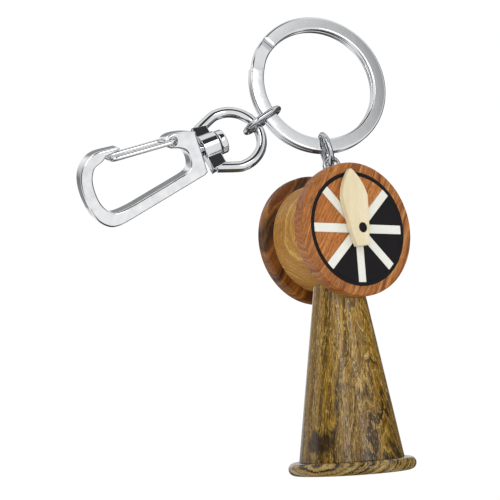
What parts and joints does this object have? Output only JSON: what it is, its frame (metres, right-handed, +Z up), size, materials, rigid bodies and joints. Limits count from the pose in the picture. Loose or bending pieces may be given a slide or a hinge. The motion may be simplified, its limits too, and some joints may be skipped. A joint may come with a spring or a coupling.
{
  "type": "telegraph key ring",
  "caption": "Key ring with a turned wooden ship's telegraph charm, inlaid dial and pointer, on a flat split ring with a swivel snap hook.",
  "frame": {"origin": "hang point: the top of the split ring's bore, midway between its two turns", "axes": "+Z up with the key ring hanging from its split ring, +X to the right in the plane of the ring, -Y towards the front"},
  "size_m": [0.0678, 0.0256, 0.0952],
  "materials": {
    "chrome": "bright plated steel and zinc",
    "rosewood": "oiled red-brown hardwood with dark streaks, satin",
    "drum_wood": "golden brown hardwood with fine cross grain, satin",
    "pedestal_wood": "olive brown hardwood with dark wavy figure, satin varnish",
    "pale_wood": "pale cream close-grained wood, matt",
    "ebony": "near-black close-grained wood, satin",
    "bone": "off-white inlay, satin"
  },
  "bodies": {
    "ring": {"split_ring": "chrome"},
    "hook_link": {"link_hook": "chrome"},
    "eye": {"swivel_eye": "chrome"},
    "hook": {"hook_body": "chrome", "swivel_rivet": "chrome"},
    "gate": {"gate_wire": "chrome"},
    "charm_link": {"link_charm": "chrome"},
    "charm": {"screw_eye": "chrome", "drum": "drum_wood", "head_dowel": "pale_wood", "front_disc": "rosewood", "back_disc": "rosewood", "dial_ring": "ebony", "dial_hub": "ebony", "dial_wood_1": "rosewood", "dial_wood_2": "rosewood", "dial_wood_3": "rosewood", "dial_wood_4": "rosewood", "dial_ebony_1": "ebony", "dial_ebony_2": "ebony", "dial_ebony_3": "ebony", "dial_ebony_4": "ebony", "spoke_1": "bone", "spoke_2": "bone", "spoke_3": "bone", "spoke_4": "bone", "spoke_5": "bone", "spoke_6": "bone", "spoke_7": "bone", "spoke_8": "bone", "pointer_pin": "ebony", "pedestal": "pedestal_wood", "base_flange": "pedestal_wood"},
    "pointer": {"pointer": "pale_wood"}
  },
  "joints": [
    {"name": "hook_link_swing", "type": "hinge", "parent": "ring", "child": "hook_link", "pos_m": [-0.01147, -0.00151, -0.01916], "axis": [0.5299, 0, -0.848], "range_deg": [-30, 30]},
    {"name": "eye_swing", "type": "hinge", "parent": "hook_link", "child": "eye", "pos_m": [-0.01432, -0.00201, -0.02158], "axis": [0, -1, 0], "range_deg": [-15, 20]},
    {"name": "hook_swivel", "type": "hinge", "parent": "eye", "child": "hook", "pos_m": [-0.0272, -0.00201, -0.02652], "axis": [0.9336, 0, 0.3584], "continuous": true},
    {"name": "gate_open", "type": "hinge", "parent": "hook", "child": "gate", "pos_m": [-0.03303, -0.00337, -0.02473], "axis": [0.1226, -0.9397, -0.3193], "range_deg": [0, 26], "stiffness_Nm_per_rad": 0.006, "springref_deg": -2.86},
    {"name": "charm_link_swing", "type": "hinge", "parent": "ring", "child": "charm_link", "pos_m": [0.00009, -0.00201, -0.0255], "axis": [0.9744, 0, 0.225], "range_deg": [-40, 40]},
    {"name": "charm_swing", "type": "hinge", "parent": "charm_link", "child": "charm", "pos_m": [0.00102, -0.00201, -0.02949], "axis": [0, -1, 0], "range_deg": [-6, 50]},
    {"name": "pointer_turn", "type": "hinge", "parent": "charm", "child": "pointer", "pos_m": [0.003, -0.0096, -0.04417], "axis": [0.2706, -0.9627, 0], "continuous": true}
  ]
}
